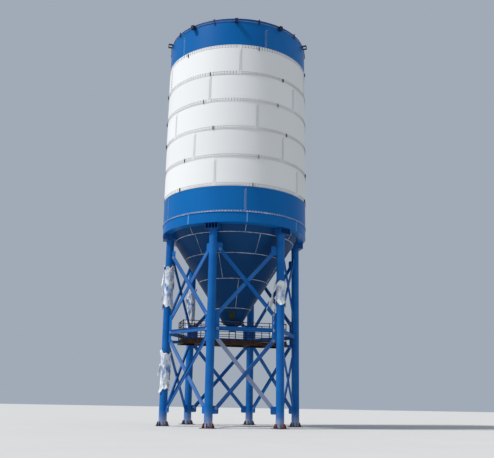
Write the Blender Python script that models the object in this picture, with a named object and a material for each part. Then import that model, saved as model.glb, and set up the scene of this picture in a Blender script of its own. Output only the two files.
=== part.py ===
"""A bolted sheet-steel bulk cement silo on six braced tubular legs.

Metres, +Z up. The origin is on the ground at the silo's axis, and one leg
stands at -Y. Angles are in degrees about the axis, from +X towards +Y.
"""

import math

import bmesh
import bpy
from mathutils import Matrix, Vector

# Clearance between pieces that touch, and how far joined pieces run into each other.
SEAT = 0.0003
WELD = 0.001

# Shell
SHELL_RADIUS = 4.58
SHEET = 0.008
FACETS = 48
WHITE_COURSES = 5
COURSE_PITCH = 1.80
LAP = 0.20
LOWER_BAND_SHOWN = 1.58
TOP_BAND_HEIGHT = 1.84

# Ring beam that the shell stands on
RING_BOTTOM = 11.61
RING_HEIGHT = 0.63
RING_WEB = 0.014
RING_FLANGE = 0.018

# Discharge hopper
HOPPER_PLATE = 0.010
HOPPER_FOOT = 6.31
HOPPER_FOOT_RADIUS = 0.645
HOPPER_TOP_INSET = 0.161
HOPPER_SEAMS = (7.05, 8.71, 10.11, 11.23)
HATCH_ANGLE = -76.0
HATCH_SIZE = (0.05, 0.42, 0.62)

# Legs and their feet
LEGS = 6
LEG_INSET = 0.46
LEG_DIAMETER = 0.478
LEG_WALL = 0.012
LEG_SIDES = 24
BASE_PLATE = (0.76, 0.76, 0.035)
BASE_RIBS = 8
BASE_RIB = (0.13, 0.016, 0.24)
BASE_RIB_TIP = 0.05

# Brackets between a leg and the ring beam
HEAD_WIDTH = 0.785
HEAD_HEIGHT = 0.36
HEAD_PLATE = 0.022
HEAD_CELLS = 4
HEAD_SETBACK = 0.04
HEAD_REACH = 0.28

# Plates on the legs that carry the bracing: width along the bay, foot and top
GUSSET = 0.016
UPPER_GUSSET = (0.33, 9.98, 10.52)
MIDDLE_GUSSET = (0.26, 4.88, 6.52)
LOWER_GUSSET = (0.32, 0.78, 1.22)

# Bracing channels
BRACE_DEPTH = 0.22
BRACE_FLANGE = 0.075
BRACE_STEEL = 0.009
BRACE_END_INSET = 0.12
UPPER_BRACE = (10.20, 6.32)
LOWER_BRACE = (4.97, 1.02)
PACKING = 0.16
STRUT_LEVEL = 5.50
STRUT_DEPTH = 0.24
STRUT_END_INSET = 0.06

# Roof
KERB_HEIGHT = 0.19
KERB_SETBACK = 0.05
RIM_FLANGE = 0.07
RIM_PLATE = 0.012
ROOF_PLATE = 0.008
ROOF_RISE = 0.62
ROOF_HUB = 0.34
RIM_LUGS = 20
RIM_LUG_START = -74.2
SOCKET = (0.26, 0.20, 0.28)
SOCKET_WALL = 0.014
SOCKET_DROP = 0.10
UPRIGHT = (0.025, 0.10, 0.33)
UPRIGHT_DROP = 0.04

# Roof fittings: angle, distance from the axis, radius and height
FILTER_STUB = (0.0, 0.0, 0.42, 0.28)
VALVE_STUB = (190.0, 2.2, 0.26, 0.24)
MANHOLE = (60.0, 3.2, 0.30, 0.20)
STUB_WALL = 0.008
STUB_FLANGE = 0.05
STUB_FLANGE_THICK = 0.016
LID_THICK = 0.012
LID_OVERHANG = 0.03

# Outlet below the hopper
OUTLET_FLANGE_WIDTH = 0.095
OUTLET_FLANGE_THICK = 0.05
THROAT_HEIGHT = 0.26
THROAT_RADIUS = 0.26
THROAT_WALL = 0.010
VALVE_HEIGHT = 0.20
VALVE_RADIUS = 0.30
VALVE_BORE = 0.20
SPOUT_HEIGHT = 0.10
SPOUT_RADIUS = 0.22
ACTUATOR = (0.34, 0.20, 0.18)

# Service platform around the outlet
DECK_TOP = 5.04
DECK_PLATE = 0.008
DECK_ANGLE = 30.0
DECK_END = 3.28
DECK_HALF_WIDTH = 0.95
DECK_HOLE = 0.62
BEAM_DEPTH = 0.20
BEAM_WIDTH = 0.10
BEAM_STEEL = 0.010
JOIST_PLACES = (-2.2, -0.9, 0.9, 2.2)
DECK_LEGS = (2, 5)
CLEAT = (0.20, 0.26, 0.16)
RAIL_HEIGHT = 1.20
RAILS = 4
RAIL = 0.036
POST = 0.050
POSTS_A_SIDE = 3
CORNER_POST_SHARE = 1.5
TOE_HEIGHT = 0.10
TOE_PLATE = 0.006

# Worked-out levels and sizes
RING_TOP = RING_BOTTOM + RING_HEIGHT
SHELL_FOOT = RING_TOP + SEAT
TAPER = (SHEET + SEAT) / COURSE_PITCH
FIRST_SEAM = RING_TOP + LOWER_BAND_SHOWN
TOP_SEAM = FIRST_SEAM + WHITE_COURSES * COURSE_PITCH + LAP
RIM = TOP_SEAM - LAP + TOP_BAND_HEIGHT
TOP_BAND_RADIUS = SHELL_RADIUS - SHEET - SEAT
HOPPER_WIDENING = SHELL_RADIUS - HOPPER_TOP_INSET - HOPPER_FOOT_RADIUS
HOPPER_RISE = (RING_TOP - HOPPER_FOOT) / HOPPER_WIDENING
LEG_CIRCLE = SHELL_RADIUS - LEG_INSET
LEG_RADIUS = LEG_DIAMETER / 2
HEAD_OUTER = SHELL_RADIUS - HEAD_SETBACK
HEAD_INNER = LEG_CIRCLE - HEAD_REACH
LEG_TOP = RING_BOTTOM - HEAD_HEIGHT
BAY = LEG_CIRCLE * 2 * math.sin(math.pi / LEGS)
APOTHEM = LEG_CIRCLE * math.cos(math.pi / LEGS)
BAY_CLEAR = BAY - LEG_DIAMETER
THROAT_TOP = HOPPER_FOOT - OUTLET_FLANGE_THICK - SEAT
VALVE_TOP = THROAT_TOP - THROAT_HEIGHT - SEAT
SPOUT_TOP = VALVE_TOP - VALVE_HEIGHT - SEAT
BEAM_TOP = DECK_TOP - DECK_PLATE - SEAT

BLUE = (0.03, 0.16, 0.45)
WHITE = (0.80, 0.81, 0.81)
DARK_STEEL = (0.05, 0.04, 0.04)
NAVY = (0.02, 0.05, 0.16)


def clear_scene():
    for obj in list(bpy.data.objects):
        bpy.data.objects.remove(obj, do_unlink=True)


def make_collection(name):
    collection = bpy.data.collections.new(name)
    bpy.context.scene.collection.children.link(collection)
    return collection


def make_material(name, colour, roughness=0.45, metallic=0.0):
    material = bpy.data.materials.new(name)
    material.use_nodes = True
    shader = material.node_tree.nodes["Principled BSDF"]
    shader.inputs["Base Color"].default_value = (*colour, 1.0)
    shader.inputs["Roughness"].default_value = roughness
    shader.inputs["Metallic"].default_value = metallic
    return material


clear_scene()
PARTS = make_collection("cement_silo")
CUTTERS = make_collection("cutters")
BLUE_PAINT = make_material("blue_paint", BLUE)
WHITE_PAINT = make_material("white_paint", WHITE)
PLATFORM_STEEL = make_material("platform_steel", DARK_STEEL, 0.6)
LUG_STEEL = make_material("lug_steel", NAVY, 0.5)


def add_object(name, bm, material, collection=PARTS):
    """The mesh under construction as an object with its faces turned outward."""
    bmesh.ops.recalc_face_normals(bm, faces=bm.faces)
    mesh = bpy.data.meshes.new(name)
    bm.to_mesh(mesh)
    bm.free()
    mesh.shade_smooth()
    mesh.set_sharp_from_angle(angle=math.radians(30))
    obj = bpy.data.objects.new(name, mesh)
    collection.objects.link(obj)
    if material:
        mesh.materials.append(material)
    return obj


def around(angle):
    """Local x points out from the silo's axis at this angle, and y round it."""
    return Matrix.Rotation(math.radians(angle), 4, "Z")


def leg_angle(index):
    return -90.0 + index * 360.0 / LEGS


def at_leg(index):
    """The frame of a leg: its axis at the origin, x outward."""
    return around(leg_angle(index)) @ Matrix.Translation((LEG_CIRCLE, 0, 0))


def in_bay(index):
    """The frame of a bay, seen from outside: x to the right, y inward."""
    angle = leg_angle(index) + 180.0 / LEGS
    return around(angle) @ Matrix.Translation((APOTHEM, 0, 0)) @ around(90)


def add_box(bm, low, high, frame=Matrix()):
    """A box between two corners of the given frame."""
    low = Vector(low)
    high = Vector(high)
    size = Matrix.Diagonal((*(high - low), 1.0))
    place = frame @ Matrix.Translation((low + high) / 2) @ size
    bmesh.ops.create_cube(bm, size=1.0, matrix=place)


def add_cylinder(bm, radius, foot, top, sides, frame=Matrix()):
    place = frame @ Matrix.Translation((0, 0, (foot + top) / 2))
    bmesh.ops.create_cone(
        bm,
        cap_ends=True,
        segments=sides,
        radius1=radius,
        radius2=radius,
        depth=top - foot,
        matrix=place,
    )


def append_part(bm, part):
    """Move the geometry of one mesh under construction into another."""
    mesh = bpy.data.meshes.new("part")
    part.to_mesh(mesh)
    part.free()
    bm.from_mesh(mesh)
    bpy.data.meshes.remove(mesh)


def add_turned(bm, profile, sides, frame=Matrix()):
    """A closed profile of (radius, height) points turned once round the frame's z."""
    part = bmesh.new()
    ring = [part.verts.new((radius, 0, height)) for radius, height in profile]
    edges = [part.edges.new((ring[i - 1], ring[i])) for i in range(len(ring))]
    bmesh.ops.spin(
        part,
        geom=ring + edges,
        cent=(0, 0, 0),
        axis=(0, 0, 1),
        angle=2 * math.pi,
        steps=sides,
        use_merge=True,
    )
    bmesh.ops.transform(part, matrix=frame, verts=part.verts)
    append_part(bm, part)


def combine(obj, helper, operation):
    """Cut the helper's solid from the object, or join it on."""
    helper.hide_render = True
    helper.display_type = "WIRE"
    boolean = obj.modifiers.new(operation.lower(), "BOOLEAN")
    boolean.operation = operation
    boolean.object = helper


def cut(obj, helper):
    combine(obj, helper, "DIFFERENCE")


def join(obj, helper):
    combine(obj, helper, "UNION")


def shell_courses():
    """Lapped courses of curved sheet, each white course's foot outside the one below."""
    courses = WHITE_COURSES + 2
    for number in range(1, courses + 1):
        seam = FIRST_SEAM + (number - 2) * COURSE_PITCH
        foot = seam
        top = seam + COURSE_PITCH + LAP
        foot_radius = SHELL_RADIUS + TAPER * (top - foot)
        top_radius = SHELL_RADIUS
        paint = WHITE_PAINT
        if number == 1:
            foot, foot_radius, paint = SHELL_FOOT, SHELL_RADIUS, BLUE_PAINT
        if number == courses:
            foot, top, paint = TOP_SEAM - LAP, RIM, BLUE_PAINT
            foot_radius = top_radius = TOP_BAND_RADIUS
        profile = (
            (foot_radius - SHEET, foot),
            (foot_radius, foot),
            (top_radius, top),
            (top_radius - SHEET, top),
        )
        bm = bmesh.new()
        add_turned(bm, profile, FACETS)
        add_object(f"shell_course_{number}", bm, paint)


def hopper_radius(height):
    """The hopper's outer radius at a level."""
    return HOPPER_FOOT_RADIUS + (height - HOPPER_FOOT) / HOPPER_RISE


def ring_beam():
    """A rolled channel with its flanges turned in to the hopper."""
    gap = SEAT * 3
    top_inner = hopper_radius(RING_TOP) + gap
    lower_inner = hopper_radius(RING_BOTTOM + RING_FLANGE) + gap
    web_inner = SHELL_RADIUS - RING_WEB
    profile = (
        (lower_inner, RING_BOTTOM),
        (SHELL_RADIUS, RING_BOTTOM),
        (SHELL_RADIUS, RING_TOP),
        (top_inner, RING_TOP),
        (top_inner, RING_TOP - RING_FLANGE),
        (web_inner, RING_TOP - RING_FLANGE),
        (web_inner, RING_BOTTOM + RING_FLANGE),
        (lower_inner, RING_BOTTOM + RING_FLANGE),
    )
    bm = bmesh.new()
    add_turned(bm, profile, FACETS)
    add_object("ring_beam", bm, BLUE_PAINT)


def hopper_courses():
    """Rolled cone courses, welded edge to edge, from the outlet up."""
    levels = (HOPPER_FOOT, *HOPPER_SEAMS, RING_TOP - RING_FLANGE / 2)
    across = HOPPER_PLATE * math.sqrt(1 + 1 / HOPPER_RISE**2)
    for number in range(1, len(levels)):
        foot = levels[number - 1]
        top = levels[number] - SEAT
        profile = (
            (hopper_radius(foot) - across, foot),
            (hopper_radius(foot), foot),
            (hopper_radius(top), top),
            (hopper_radius(top) - across, top),
        )
        bm = bmesh.new()
        add_turned(bm, profile, FACETS)
        add_object(f"hopper_course_{number}", bm, BLUE_PAINT)


def hopper_solid(name, clearance):
    """The space that the hopper fills, as a cutter for what is welded to it."""
    bm = bmesh.new()
    foot = HOPPER_FOOT
    top = RING_TOP
    place = Matrix.Translation((0, 0, (foot + top) / 2))
    bmesh.ops.create_cone(
        bm,
        cap_ends=True,
        segments=FACETS,
        radius1=hopper_radius(foot) + clearance,
        radius2=hopper_radius(top) + clearance,
        depth=top - foot,
        matrix=place,
    )
    return add_object(name, bm, None, CUTTERS)


def hopper_hatch(cutter):
    """A framed inspection hatch on the lowest cone course, cut to the cone."""
    reach, width, height = HATCH_SIZE
    slope = math.atan(1 / HOPPER_RISE)
    middle = HOPPER_FOOT + height * 0.55
    place = around(HATCH_ANGLE) @ Matrix.Translation((hopper_radius(middle), 0, middle))
    place = place @ Matrix.Rotation(slope, 4, "Y")
    bm = bmesh.new()
    half = height / 2
    add_box(bm, (-reach * 3, -width / 2, -half), (reach, width / 2, half), place)
    frame = add_object("hopper_hatch", bm, LUG_STEEL)
    cut(frame, cutter)


def add_extruded(bm, outline, thick, frame):
    """A flat outline in the frame's x and z, as a plate of this thickness centred on y."""
    ring = [bm.verts.new(frame @ Vector((x, -thick / 2, z))) for x, z in outline]
    face = bm.faces.new(ring)
    grown = bmesh.ops.extrude_face_region(bm, geom=[face])
    moved = [v for v in grown["geom"] if isinstance(v, bmesh.types.BMVert)]
    across = frame.to_3x3() @ Vector((0, thick, 0))
    bmesh.ops.translate(bm, vec=across, verts=moved)


def leg_fittings(index):
    """What is welded to a leg: its base plate, the ribs on it, and the platform's cleat."""
    depth, width, thick = BASE_PLATE
    frame = at_leg(index)
    plate = bmesh.new()
    low = (-depth / 2, -width / 2, 0)
    add_box(plate, low, (depth / 2, width / 2, thick), frame)
    if index in DECK_LEGS:
        cleat_depth, cleat_width, cleat_height = CLEAT
        middle = BEAM_TOP - BEAM_DEPTH / 2
        foot = middle - cleat_height / 2
        low = (DECK_END + SEAT - LEG_CIRCLE, -cleat_width / 2, foot)
        high = (-LEG_RADIUS + cleat_depth, cleat_width / 2, foot + cleat_height)
        add_box(plate, low, high, frame)
    helper = add_object(f"leg_plate_{index + 1}", plate, None, CUTTERS)

    length, rib_thick, height = BASE_RIB
    foot = thick - WELD
    start = LEG_RADIUS - LEG_WALL / 2
    end = LEG_RADIUS + length
    outline = (
        (start, foot),
        (end, foot),
        (end, foot + BASE_RIB_TIP),
        (LEG_RADIUS + BASE_RIB_TIP, foot + height),
        (start, foot + height),
    )
    ribs = bmesh.new()
    for rib in range(BASE_RIBS):
        turned = frame @ around(rib * 360.0 / BASE_RIBS)
        add_extruded(ribs, outline, rib_thick, turned)
    return helper, add_object(f"leg_ribs_{index + 1}", ribs, None, CUTTERS)


def legs():
    foot = BASE_PLATE[2] / 2
    profile = (
        (LEG_RADIUS - LEG_WALL, foot),
        (LEG_RADIUS, foot),
        (LEG_RADIUS, LEG_TOP - SEAT),
        (LEG_RADIUS - LEG_WALL, LEG_TOP - SEAT),
    )
    for index in range(LEGS):
        bm = bmesh.new()
        add_turned(bm, profile, LEG_SIDES, at_leg(index))
        leg = add_object(f"leg_{index + 1}", bm, BLUE_PAINT)
        for fitting in leg_fittings(index):
            join(leg, fitting)


def leg_heads(cutter):
    """Ribbed boxes between the legs and the ring beam, cut to the hopper's slope."""
    cell = (HEAD_WIDTH - HEAD_PLATE) / HEAD_CELLS
    side = HEAD_WIDTH / 2
    foot = LEG_TOP
    top = RING_BOTTOM - SEAT
    for index in range(LEGS):
        frame = around(leg_angle(index))
        box = bmesh.new()
        add_box(box, (HEAD_INNER, -side, foot), (HEAD_OUTER, side, top), frame)
        head = add_object(f"leg_head_{index + 1}", box, BLUE_PAINT)
        cells = bmesh.new()
        for number in range(HEAD_CELLS):
            left = -side + HEAD_PLATE + number * cell
            low = (HEAD_INNER - cell, left, foot + HEAD_PLATE)
            high = (HEAD_OUTER + cell, left + cell - HEAD_PLATE, top - HEAD_PLATE)
            add_box(cells, low, high, frame)
        cut(head, add_object(f"head_cells_{index + 1}", cells, None, CUTTERS))
        cut(head, cutter)


def add_gussets(bm, frame, size):
    """A plate at each end of a bay, in the plane of the legs' axes."""
    width, foot, top = size
    for side in (-1, 1):
        outer = side * (BAY_CLEAR / 2 - SEAT)
        inner = outer - side * width
        low = (min(inner, outer), -GUSSET / 2, foot)
        add_box(bm, low, (max(inner, outer), GUSSET / 2, top), frame)


def channel_profile(depth, outward):
    """Corners of a channel's section: along its depth, and away from the gussets."""
    half = depth / 2
    inner = half - BRACE_STEEL
    near = GUSSET / 2 - WELD
    web = near + BRACE_STEEL
    far = near + BRACE_FLANGE
    corners = (
        (-half, near),
        (half, near),
        (half, far),
        (inner, far),
        (inner, web),
        (-inner, web),
        (-inner, far),
        (-half, far),
    )
    return [(across, -away if outward else away) for across, away in corners]


def add_channel(bm, frame, start, end, depth, outward):
    """A channel between two points (x, z) of a bay, on one face of the gussets."""
    run = Vector((end[0] - start[0], 0, end[1] - start[1]))
    along = run.normalized()
    across = Vector((-along.z, 0, along.x))
    origin = Vector((start[0], 0, start[1]))
    ring = [
        bm.verts.new(frame @ (origin + across * side + Vector((0, away, 0))))
        for side, away in channel_profile(depth, outward)
    ]
    face = bm.faces.new(ring)
    grown = bmesh.ops.extrude_face_region(bm, geom=[face])
    moved = [v for v in grown["geom"] if isinstance(v, bmesh.types.BMVert)]
    bmesh.ops.translate(bm, vec=frame.to_3x3() @ run, verts=moved)


def add_cross(channels, plates, frame, high, low, falling_outward):
    """Two crossed channels back to back, with a packing plate where they cross."""
    reach = BAY_CLEAR / 2 - BRACE_END_INSET
    falling = ((-reach, high), (reach, low))
    rising = ((-reach, low), (reach, high))
    add_channel(channels, frame, *falling, BRACE_DEPTH, falling_outward)
    add_channel(channels, frame, *rising, BRACE_DEPTH, not falling_outward)
    middle = (high + low) / 2
    half = PACKING / 2
    corner = (half, GUSSET / 2, middle + half)
    add_box(plates, (-half, -GUSSET / 2, middle - half), corner, frame)


def bracing():
    """Each bay's gussets, with the crossed channels and the strut that they carry."""
    reach = BAY_CLEAR / 2 - STRUT_END_INSET
    for index in range(LEGS):
        frame = in_bay(index)
        plates = bmesh.new()
        channels = bmesh.new()
        for size in (UPPER_GUSSET, MIDDLE_GUSSET, LOWER_GUSSET):
            add_gussets(plates, frame, size)
        add_cross(channels, plates, frame, *UPPER_BRACE, True)
        add_cross(channels, plates, frame, *LOWER_BRACE, False)
        ends = ((-reach, STRUT_LEVEL), (reach, STRUT_LEVEL))
        add_channel(channels, frame, *ends, STRUT_DEPTH, True)
        bay = add_object(f"bracing_bay_{index + 1}", channels, BLUE_PAINT)
        join(bay, add_object(f"gussets_{index + 1}", plates, None, CUTTERS))


def roof():
    """The kerb and the low cone of the roof, which the filter stub closes at the top."""
    kerb_foot = RIM + RIM_PLATE + 2 * SEAT
    kerb_top = kerb_foot + KERB_HEIGHT
    kerb_outer = TOP_BAND_RADIUS - KERB_SETBACK
    bm = bmesh.new()
    profile = (
        (kerb_outer - SHEET, kerb_foot),
        (kerb_outer, kerb_foot),
        (kerb_outer, kerb_top),
        (kerb_outer - SHEET, kerb_top),
    )
    add_turned(bm, profile, FACETS)
    add_object("roof_kerb", bm, BLUE_PAINT)

    deck_outer = kerb_outer - SHEET - SEAT
    deck_foot = kerb_foot + KERB_HEIGHT / 2
    profile = (
        (ROOF_HUB, deck_foot + ROOF_RISE - ROOF_PLATE),
        (deck_outer, deck_foot - ROOF_PLATE),
        (deck_outer, deck_foot),
        (ROOF_HUB, deck_foot + ROOF_RISE),
    )
    bm = bmesh.new()
    add_turned(bm, profile, FACETS)
    add_object("roof_deck", bm, BLUE_PAINT)
    return deck_foot, deck_outer


def roof_solid(deck_foot, deck_outer):
    """The space below the roof's top surface, as a cutter for what stands on it."""
    bm = bmesh.new()
    profile_depth = ROOF_RISE * deck_outer / (deck_outer - ROOF_HUB)
    bmesh.ops.create_cone(
        bm,
        cap_ends=True,
        segments=FACETS,
        radius1=deck_outer,
        radius2=0.0,
        depth=profile_depth,
        matrix=Matrix.Translation((0, 0, deck_foot + SEAT + profile_depth / 2)),
    )
    return add_object("roof_space", bm, None, CUTTERS)


def roof_stub(name, place, deck_foot, deck_outer, cutter, capped):
    """A short flanged pipe that rises from the roof, its foot cut to the slope."""
    angle, distance, radius, height = place
    slope = ROOF_RISE / (deck_outer - ROOF_HUB)
    level = deck_foot + slope * (deck_outer - max(distance, ROOF_HUB))
    foot = level - slope * radius * 2
    top = level + height
    bore = radius - STUB_WALL
    rim = radius + STUB_FLANGE
    profile = (
        (bore, foot),
        (radius, foot),
        (radius, top - STUB_FLANGE_THICK),
        (rim, top - STUB_FLANGE_THICK),
        (rim, top),
        (bore, top),
    )
    frame = around(angle) @ Matrix.Translation((distance, 0, 0))
    pipe = bmesh.new()
    add_turned(pipe, profile, LEG_SIDES, frame)
    stub = add_object(name, pipe, BLUE_PAINT)
    cut(stub, cutter)
    if capped:
        lid = bmesh.new()
        add_cylinder(lid, rim - WELD, top - WELD, top + LID_THICK, LEG_SIDES, frame)
        join(stub, add_object(f"{name}_blank", lid, None, CUTTERS))
    return frame, top, rim


def roof_fittings(deck_foot, deck_outer, cutter):
    """Blanked stubs for a filter and a relief valve, and a manhole with its lid."""
    seat = (deck_foot, deck_outer, cutter)
    roof_stub("filter_stub", FILTER_STUB, *seat, True)
    roof_stub("relief_valve_stub", VALVE_STUB, *seat, True)
    frame, top, rim = roof_stub("manhole_collar", MANHOLE, *seat, False)
    lid = bmesh.new()
    add_cylinder(lid, rim + LID_OVERHANG, top + SEAT, top + LID_THICK, LEG_SIDES, frame)
    add_object("manhole_lid", lid, BLUE_PAINT)


def rim_flange():
    """The flange on the top band, with box sockets and upright plates round its edge."""
    lugs = bmesh.new()
    holes = bmesh.new()
    edge = TOP_BAND_RADIUS + RIM_FLANGE / 2
    for number in range(RIM_LUGS):
        frame = around(RIM_LUG_START + number * 360.0 / RIM_LUGS)
        upright = number % 2
        depth, width, height = UPRIGHT if upright else SOCKET
        foot = RIM - (UPRIGHT_DROP if upright else SOCKET_DROP)
        low = Vector((TOP_BAND_RADIUS - RIM_FLANGE / 2, -width / 2, foot))
        high = Vector((edge + depth, width / 2, foot + height))
        add_box(lugs, low, high, frame)
        if not upright:
            start = Vector((edge + SOCKET_WALL, -width, foot + SOCKET_WALL))
            end = Vector((high.x - SOCKET_WALL, width, high.z - SOCKET_WALL))
            add_box(holes, start, end, frame)
    flange = add_object("rim_flange", lugs, BLUE_PAINT)
    cut(flange, add_object("socket_holes", holes, None, CUTTERS))

    space = bmesh.new()
    band = TOP_BAND_RADIUS + SEAT
    add_cylinder(space, band, RIM - SOCKET[2], RIM + SEAT, FACETS)
    cut(flange, add_object("top_band_space", space, None, CUTTERS))

    ring = bmesh.new()
    inner = TOP_BAND_RADIUS - KERB_SETBACK - RIM_FLANGE
    foot = RIM + SEAT
    top = foot + RIM_PLATE
    profile = ((inner, foot), (edge, foot), (edge, top), (inner, top))
    add_turned(ring, profile, FACETS)
    join(flange, add_object("flange_ring", ring, None, CUTTERS))


def outlet():
    """The flange below the hopper, the throat, the valve and its spout."""
    rim = HOPPER_FOOT_RADIUS + OUTLET_FLANGE_WIDTH
    thick = OUTLET_FLANGE_THICK
    bore = HOPPER_FOOT_RADIUS - HOPPER_PLATE * 2
    top = HOPPER_FOOT - SEAT
    bm = bmesh.new()
    profile = ((bore, top - thick), (rim, top - thick), (rim, top), (bore, top))
    add_turned(bm, profile, FACETS // 2)
    add_object("outlet_flange", bm, BLUE_PAINT)

    wide = HOPPER_FOOT_RADIUS
    foot = THROAT_TOP - THROAT_HEIGHT
    bm = bmesh.new()
    profile = (
        (THROAT_RADIUS - THROAT_WALL, foot),
        (THROAT_RADIUS, foot),
        (wide, THROAT_TOP - SEAT),
        (wide - THROAT_WALL, THROAT_TOP - SEAT),
    )
    add_turned(bm, profile, FACETS // 2)
    add_object("outlet_throat", bm, BLUE_PAINT)

    foot = VALVE_TOP - VALVE_HEIGHT
    bm = bmesh.new()
    profile = (
        (VALVE_BORE, foot),
        (VALVE_RADIUS, foot),
        (VALVE_RADIUS, VALVE_TOP),
        (VALVE_BORE, VALVE_TOP),
    )
    add_turned(bm, profile, FACETS // 2)
    add_object("discharge_valve", bm, PLATFORM_STEEL)

    depth, width, height = ACTUATOR
    middle = (foot + VALVE_TOP) / 2
    frame = around(180.0)
    low = (VALVE_RADIUS + SEAT, -width / 2, middle - height / 2)
    high = (VALVE_RADIUS + depth, width / 2, middle + height / 2)
    bm = bmesh.new()
    add_box(bm, low, high, frame)
    add_object("valve_actuator", bm, PLATFORM_STEEL)

    foot = SPOUT_TOP - SPOUT_HEIGHT
    bm = bmesh.new()
    profile = (
        (VALVE_BORE, foot),
        (SPOUT_RADIUS, foot),
        (SPOUT_RADIUS, SPOUT_TOP),
        (VALVE_BORE, SPOUT_TOP),
    )
    add_turned(bm, profile, FACETS // 2)
    add_object("discharge_spout", bm, PLATFORM_STEEL)


def platform_deck():
    """A plate between two legs with a round hole for the outlet."""
    frame = around(DECK_ANGLE)
    bm = bmesh.new()
    low = (-DECK_END, -DECK_HALF_WIDTH, DECK_TOP - DECK_PLATE)
    add_box(bm, low, (DECK_END, DECK_HALF_WIDTH, DECK_TOP), frame)
    deck = add_object("platform_deck", bm, PLATFORM_STEEL)
    hole = bmesh.new()
    add_cylinder(hole, DECK_HOLE, DECK_TOP - 1.0, DECK_TOP + 1.0, LEG_SIDES)
    cut(deck, add_object("deck_hole", hole, None, CUTTERS))


def platform_beams():
    """A rim of channels under the deck's edge, joined by joists."""
    frame = around(DECK_ANGLE)
    foot = BEAM_TOP - BEAM_DEPTH
    bm = bmesh.new()
    low = (-DECK_END, -DECK_HALF_WIDTH, foot)
    add_box(bm, low, (DECK_END, DECK_HALF_WIDTH, BEAM_TOP), frame)
    beams = add_object("platform_beams", bm, PLATFORM_STEEL)
    space = bmesh.new()
    web = BEAM_STEEL
    high = (DECK_END - web, DECK_HALF_WIDTH - web, BEAM_TOP - web)
    add_box(space, (-high[0], -high[1], foot + web), high, frame)
    cut(beams, add_object("beam_space", space, None, CUTTERS))
    shaft = bmesh.new()
    high = (DECK_END - BEAM_WIDTH, DECK_HALF_WIDTH - BEAM_WIDTH, BEAM_TOP + BEAM_DEPTH)
    add_box(shaft, (-high[0], -high[1], foot - BEAM_DEPTH), high, frame)
    cut(beams, add_object("beam_shaft", shaft, None, CUTTERS))

    joists = bmesh.new()
    reach = DECK_HALF_WIDTH - web + WELD
    for place in JOIST_PLACES:
        low = (place - BEAM_WIDTH / 2, -reach, foot + WELD)
        high = (place + BEAM_WIDTH / 2, reach, BEAM_TOP - WELD)
        add_box(joists, low, high, frame)
    join(beams, add_object("platform_joists", joists, None, CUTTERS))


def railing():
    """Six panels round the deck: each has a corner post, posts, rails and a toe board."""
    long = DECK_END - POST
    wide = DECK_HALF_WIDTH - POST
    corners = ((long, -wide), (long, wide), (0, wide), (-long, wide), (-long, -wide), (0, -wide))
    for index, start in enumerate(corners):
        end = corners[(index + 1) % len(corners)]
        rail_panel(f"platform_railing_{index + 1}", Vector(start), Vector(end))


def rail_panel(name, start, end):
    """A corner post at the start, with rails that stop short of the next panel's post."""
    run = end - start
    heading = math.degrees(math.atan2(run.y, run.x))
    foot = DECK_TOP + SEAT
    place = Matrix.Translation((start.x, start.y, 0)) @ around(heading)
    frame = around(DECK_ANGLE) @ place
    side = run.length
    step = side / POSTS_A_SIDE
    half_post = Vector((POST / 2, POST / 2, 0))
    half_corner = half_post * CORNER_POST_SHARE
    half_rail = RAIL / 2
    top = Vector((0, 0, foot + RAIL_HEIGHT))
    floor = Vector((0, 0, foot))
    posts = bmesh.new()
    add_box(posts, floor - half_corner, top + half_corner, frame)
    for number in range(1, POSTS_A_SIDE):
        middle = Vector((number * step, 0, 0))
        add_box(posts, middle + floor - half_post, middle + top + half_post, frame)
    rails = bmesh.new()
    reach = side - half_corner.x - SEAT
    for number in range(RAILS):
        middle = foot + RAIL_HEIGHT - RAIL - number * RAIL_HEIGHT / RAILS
        low = (POST / 2, -half_rail, middle - half_rail)
        add_box(rails, low, (reach, half_rail, middle + half_rail), frame)
    low = (POST / 2, -TOE_PLATE / 2, foot + WELD)
    add_box(rails, low, (reach, TOE_PLATE / 2, foot + TOE_HEIGHT), frame)
    panel = add_object(name, posts, PLATFORM_STEEL)
    join(panel, add_object("rails", rails, None, CUTTERS))


def main():
    shell_courses()
    ring_beam()
    hopper_courses()
    cone = hopper_solid("hopper_space", SEAT * 3)
    hopper_hatch(cone)
    legs()
    leg_heads(cone)
    bracing()
    deck_foot, deck_outer = roof()
    space = roof_solid(deck_foot, deck_outer)
    roof_fittings(deck_foot, deck_outer, space)
    rim_flange()
    outlet()
    platform_deck()
    platform_beams()
    railing()


main()
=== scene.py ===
"""Looks of a bolted sheet-steel cement silo on six braced tubular legs.

Metres, +Z up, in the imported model's frame. Angles are in degrees about the
silo's axis, from +X towards +Y, and the camera looks from about -73 degrees.
"""

import math
import random

import bmesh
import bpy
from mathutils import Matrix, Vector, noise


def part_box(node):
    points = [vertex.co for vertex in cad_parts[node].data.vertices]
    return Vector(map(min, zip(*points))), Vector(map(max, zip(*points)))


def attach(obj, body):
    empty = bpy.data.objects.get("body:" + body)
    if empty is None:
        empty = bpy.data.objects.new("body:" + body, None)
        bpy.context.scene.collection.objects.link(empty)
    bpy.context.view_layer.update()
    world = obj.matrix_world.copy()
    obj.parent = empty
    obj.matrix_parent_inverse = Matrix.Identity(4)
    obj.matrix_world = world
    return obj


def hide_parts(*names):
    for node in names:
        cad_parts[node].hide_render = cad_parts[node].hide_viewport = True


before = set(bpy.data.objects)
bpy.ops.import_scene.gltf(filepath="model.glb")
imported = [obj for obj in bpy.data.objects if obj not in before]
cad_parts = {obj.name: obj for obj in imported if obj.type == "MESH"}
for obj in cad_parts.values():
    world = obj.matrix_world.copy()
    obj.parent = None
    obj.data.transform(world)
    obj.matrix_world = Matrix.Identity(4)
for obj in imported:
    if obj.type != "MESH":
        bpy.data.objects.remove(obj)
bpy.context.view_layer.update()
random.seed(7)

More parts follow.
